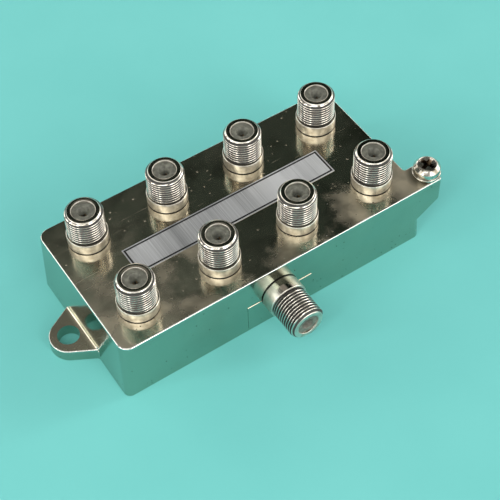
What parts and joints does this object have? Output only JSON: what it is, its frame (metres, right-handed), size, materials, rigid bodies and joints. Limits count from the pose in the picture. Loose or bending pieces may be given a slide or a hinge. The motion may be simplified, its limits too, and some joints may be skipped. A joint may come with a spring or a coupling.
{
  "type": "coaxial splitter",
  "caption": "Die-cast coaxial cable splitter: flat box with threaded output ports on top, an input port on the side, a mounting ear and a ground screw.",
  "frame": {"origin": "centre of the housing's rectangular base plane", "axes": "+X along the housing towards the ground boss, -Y out of the input port, +Z out of the output ports"},
  "size_m": [0.1012, 0.0534, 0.0289],
  "materials": {
    "cast_zinc": "bright nickel plate over die-cast zinc, with fine pits",
    "cover_steel": "tin-plated sheet steel",
    "plated_barrel": "bright nickel plate",
    "insulator_plastic": "translucent grey moulded plastic",
    "contact_bronze": "tinned phosphor bronze",
    "board_laminate": "glass-epoxy laminate with green resist",
    "ferrite": "sintered ferrite, dull grey-black",
    "enamelled_wire": "enamelled copper",
    "chip_ceramic": "fired ceramic with tinned ends",
    "moulded_epoxy": "black moulded epoxy",
    "label_foil": "brushed foil with a thin black border",
    "plated_screw": "bright nickel plate on steel"
  },
  "bodies": {
    "splitter_body": {"base_cover": "cover_steel", "chip_capacitors": "chip_ceramic", "chip_resistors": "chip_ceramic", "circuit_board": "board_laminate", "dc_chokes": "ferrite", "ferrite_core_1": "ferrite", "ferrite_core_2": "ferrite", "ferrite_core_3": "ferrite", "ferrite_core_4": "ferrite", "ferrite_core_5": "ferrite", "ferrite_core_6": "ferrite", "ferrite_core_7": "ferrite", "housing": "cast_zinc", "input_contact": "contact_bronze", "input_insulator": "insulator_plastic", "input_port": "plated_barrel", "label": "label_foil", "output_1_contact": "contact_bronze", "output_1_insulator": "insulator_plastic", "output_1_port": "plated_barrel", "output_2_contact": "contact_bronze", "output_2_insulator": "insulator_plastic", "output_2_port": "plated_barrel", "output_3_contact": "contact_bronze", "output_3_insulator": "insulator_plastic", "output_3_port": "plated_barrel", "output_4_contact": "contact_bronze", "output_4_insulator": "insulator_plastic", "output_4_port": "plated_barrel", "output_5_contact": "contact_bronze", "output_5_insulator": "insulator_plastic", "output_5_port": "plated_barrel", "output_6_contact": "contact_bronze", "output_6_insulator": "insulator_plastic", "output_6_port": "plated_barrel", "output_7_contact": "contact_bronze", "output_7_insulator": "insulator_plastic", "output_7_port": "plated_barrel", "output_8_contact": "contact_bronze", "output_8_insulator": "insulator_plastic", "output_8_port": "plated_barrel", "steering_diodes": "moulded_epoxy", "winding_1": "enamelled_wire", "winding_2": "enamelled_wire", "winding_3": "enamelled_wire", "winding_4": "enamelled_wire", "winding_5": "enamelled_wire", "winding_6": "enamelled_wire", "winding_7": "enamelled_wire"},
    "washer": {"ground_washer": "plated_screw"},
    "screw": {"ground_screw": "plated_screw"}
  },
  "joints": [
    {"name": "washer_lift", "type": "slide", "parent": "splitter_body", "child": "washer", "axis": [0, 0, 1], "range_m": [0, 0.0024]},
    {"name": "screw_turn", "type": "hinge", "parent": "washer", "child": "screw", "pos_m": [0.04615, -0.0171, 0.01922], "axis": [0, 0, 1], "range_deg": [0, 1440]}
  ],
  "couplings": [
    {"joint": "screw_turn", "follows": "washer_lift", "rad_per_m": 10472}
  ]
}
